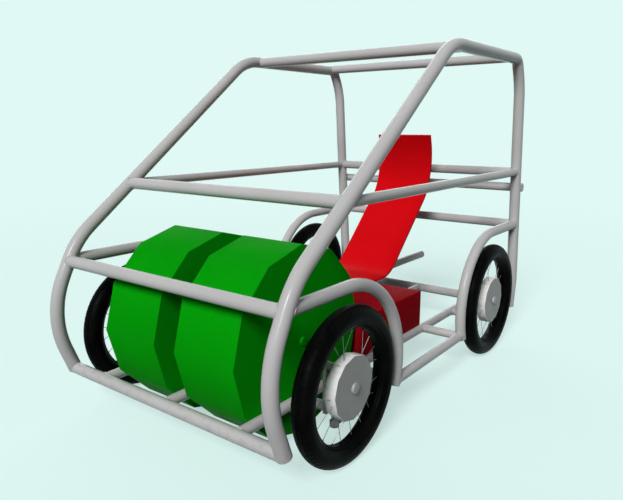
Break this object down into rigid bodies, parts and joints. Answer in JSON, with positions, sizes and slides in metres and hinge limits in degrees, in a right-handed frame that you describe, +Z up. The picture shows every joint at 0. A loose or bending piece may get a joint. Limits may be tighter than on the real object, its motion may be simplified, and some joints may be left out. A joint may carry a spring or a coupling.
{
  "type": "recumbent quadricycle",
  "caption": "Recumbent quadricycle: a round-tube cage with side hoops on spoked wheels, with steered front wheels, twin green drums, a red box and a curved red seat.",
  "frame": {"origin": "on the ground, below the middle of the outline", "axes": "+Z up, the vehicle drives towards -Y, +X is its left side; the left and right halves mirror each other across X = 0"},
  "size_m": [1.073, 1.8878, 1.3541],
  "materials": {
    "frame_paint": "light grey gloss paint",
    "drum_paint": "green satin paint",
    "box_paint": "red satin paint",
    "seat_paint": "bright red moulded shell",
    "tyre": "black rubber",
    "wheel_metal": "satin grey",
    "steel": "grey satin paint"
  },
  "bodies": {
    "frame": {"left_hoop": "frame_paint", "right_hoop": "frame_paint", "roof_front_crossbar": "frame_paint", "roof_rear_crossbar": "frame_paint", "belt_front_crossbar": "frame_paint", "belt_rear_crossbar": "frame_paint", "nose_crossbar": "frame_paint", "rear_lower_crossbar": "frame_paint", "floor_front_crossbar": "frame_paint", "floor_rear_crossbar": "frame_paint", "rear_bar": "frame_paint", "left_floor_rail": "frame_paint", "centre_floor_rail": "frame_paint", "right_floor_rail": "frame_paint", "left_belt_rail": "frame_paint", "right_belt_rail": "frame_paint", "left_front_arch": "frame_paint", "right_front_arch": "frame_paint", "left_rear_arch": "frame_paint", "right_rear_arch": "frame_paint", "left_sill": "frame_paint", "right_sill": "frame_paint", "left_front_foot_tube": "frame_paint", "left_rear_foot_tube": "frame_paint", "right_front_foot_tube": "frame_paint", "right_rear_foot_tube": "frame_paint", "spine_tube": "frame_paint", "spine_post": "frame_paint", "drum_axle": "steel", "left_drum": "drum_paint", "right_drum": "drum_paint", "seat_box": "box_paint", "seat": "seat_paint", "rear_left_axle_carrier": "steel", "rear_right_axle_carrier": "steel", "front_left_bracket": "steel", "front_right_bracket": "steel"},
    "left_knuckle": {"front_left_knuckle": "steel"},
    "right_knuckle": {"front_right_knuckle": "steel"},
    "tie_rod": {"tie_rod": "steel"},
    "front_left_wheel": {"front_left_wheel": "wheel_metal", "front_left_tyre": "tyre"},
    "front_right_wheel": {"front_right_wheel": "wheel_metal", "front_right_tyre": "tyre"},
    "rear_left_wheel": {"rear_left_wheel": "wheel_metal", "rear_left_tyre": "tyre"},
    "rear_right_wheel": {"rear_right_wheel": "wheel_metal", "rear_right_tyre": "tyre"}
  },
  "joints": [
    {"name": "steer_left", "type": "hinge", "parent": "frame", "child": "left_knuckle", "pos_m": [0.455, -0.5665, 0.2545], "axis": [0, 0, 1], "range_deg": [-25, 25]},
    {"name": "steer_right", "type": "hinge", "parent": "frame", "child": "right_knuckle", "pos_m": [-0.455, -0.5665, 0.2545], "axis": [0, 0, 1], "range_deg": [-25, 25]},
    {"name": "tie_rod_pivot", "type": "hinge", "parent": "left_knuckle", "child": "tie_rod", "pos_m": [0.455, -0.263, 0.0955], "axis": [0, 0, 1], "range_deg": [-25, 25]},
    {"name": "front_left_roll", "type": "hinge", "parent": "left_knuckle", "child": "front_left_wheel", "pos_m": [0.5014, -0.5665, 0.2545], "axis": [1, 0, 0], "continuous": true},
    {"name": "front_right_roll", "type": "hinge", "parent": "right_knuckle", "child": "front_right_wheel", "pos_m": [-0.5014, -0.5665, 0.2545], "axis": [1, 0, 0], "continuous": true},
    {"name": "rear_left_roll", "type": "hinge", "parent": "frame", "child": "rear_left_wheel", "pos_m": [0.5014, 0.5955, 0.2545], "axis": [1, 0, 0], "continuous": true},
    {"name": "rear_right_roll", "type": "hinge", "parent": "frame", "child": "rear_right_wheel", "pos_m": [-0.5014, 0.5955, 0.2545], "axis": [1, 0, 0], "continuous": true}
  ],
  "couplings": [
    {"joint": "steer_right", "follows": "steer_left", "ratio": 1},
    {"joint": "tie_rod_pivot", "follows": "steer_left", "ratio": -1}
  ]
}
